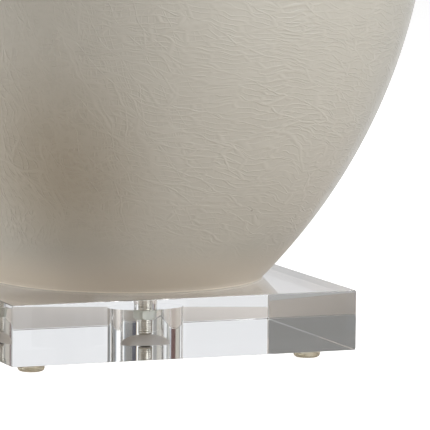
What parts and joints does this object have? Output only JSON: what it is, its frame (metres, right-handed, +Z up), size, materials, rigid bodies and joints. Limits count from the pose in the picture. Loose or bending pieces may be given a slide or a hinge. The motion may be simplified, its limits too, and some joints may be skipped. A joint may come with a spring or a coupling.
{
  "type": "table lamp",
  "caption": "Table lamp with a crackle-glazed ovoid ceramic vase body on a square clear block base, with harp, tapered drum shade and ball finial.",
  "frame": {"origin": "centre of the footprint on the surface under the feet, on the vase's axis", "axes": "+Z up along the vase's axis, +X to the right, +Y to the back (the cord bushing's side); the front is at -Y"},
  "size_m": [0.4078, 0.4076, 0.6947],
  "materials": {
    "clear_acrylic": "cast acrylic, flame polished",
    "clear_bumper": "clear soft polyurethane, slightly yellowed",
    "zinc_steel": "zinc plated",
    "crackle_glaze": "gloss glaze with fine crackle",
    "bushing_plastic": "moulded nylon",
    "brushed_nickel": "brushed nickel plate",
    "nickel_plate": "bright nickel plate",
    "fibre_liner": "black vulcanised fibre",
    "moulded_phenolic": "moulded phenolic, black",
    "brass": "plain brass",
    "bright_aluminium": "drawn, bright",
    "white_enamel": "white enamel",
    "shade_linen": "linen on a stiff white backing"
  },
  "bodies": {
    "lamp_base": {"bumper_feet": "clear_bumper", "acrylic_block": "clear_acrylic", "base_washer": "zinc_steel", "base_nut": "zinc_steel", "threaded_pipe": "zinc_steel", "vase_body": "crackle_glaze", "cord_bushing": "bushing_plastic", "vase_cap": "brushed_nickel", "turned_neck": "brushed_nickel", "check_ring": "brushed_nickel", "harp_saddle": "nickel_plate", "saddle_nut": "zinc_steel", "holder_cap": "brushed_nickel", "holder_set_screw": "zinc_steel", "holder_shell": "brushed_nickel", "holder_liner": "fibre_liner", "holder_body": "moulded_phenolic", "terminal_screws": "brass", "screw_shell": "bright_aluminium", "centre_contact": "brass"},
    "switch": {"switch_shaft": "brass", "switch_knob": "moulded_phenolic"},
    "harp": {"harp_wire": "nickel_plate", "harp_top": "nickel_plate"},
    "left_ferrule": {"ferrule_left": "brushed_nickel"},
    "right_ferrule": {"ferrule_right": "brushed_nickel"},
    "shade": {"shade_spider": "nickel_plate", "shade_top_ring": "white_enamel", "shade_bottom_ring": "white_enamel", "shade_shell": "shade_linen", "shade_trims": "shade_linen"},
    "finial": {"finial_base": "brushed_nickel", "finial_ball": "clear_acrylic"}
  },
  "joints": [
    {"name": "switch_turn", "type": "hinge", "parent": "lamp_base", "child": "switch", "pos_m": [0, -0.0162, 0.44258], "axis": [0, -1, 0], "continuous": true},
    {"name": "harp_lift", "type": "slide", "parent": "lamp_base", "child": "harp", "axis": [0, 0, 1], "range_m": [0, 0.03]},
    {"name": "left_ferrule_slide", "type": "slide", "parent": "harp", "child": "left_ferrule", "axis": [0, 0, 1], "range_m": [0, 0.012]},
    {"name": "right_ferrule_slide", "type": "slide", "parent": "harp", "child": "right_ferrule", "axis": [0, 0, 1], "range_m": [0, 0.012]},
    {"name": "shade_swivel", "type": "hinge", "parent": "harp", "child": "shade", "pos_m": [0, 0, 0.65128], "axis": [0, 0, 1], "continuous": true},
    {"name": "finial_turn", "type": "hinge", "parent": "harp", "child": "finial", "pos_m": [0, 0, 0.65288], "axis": [0, 0, 1], "continuous": true}
  ]
}
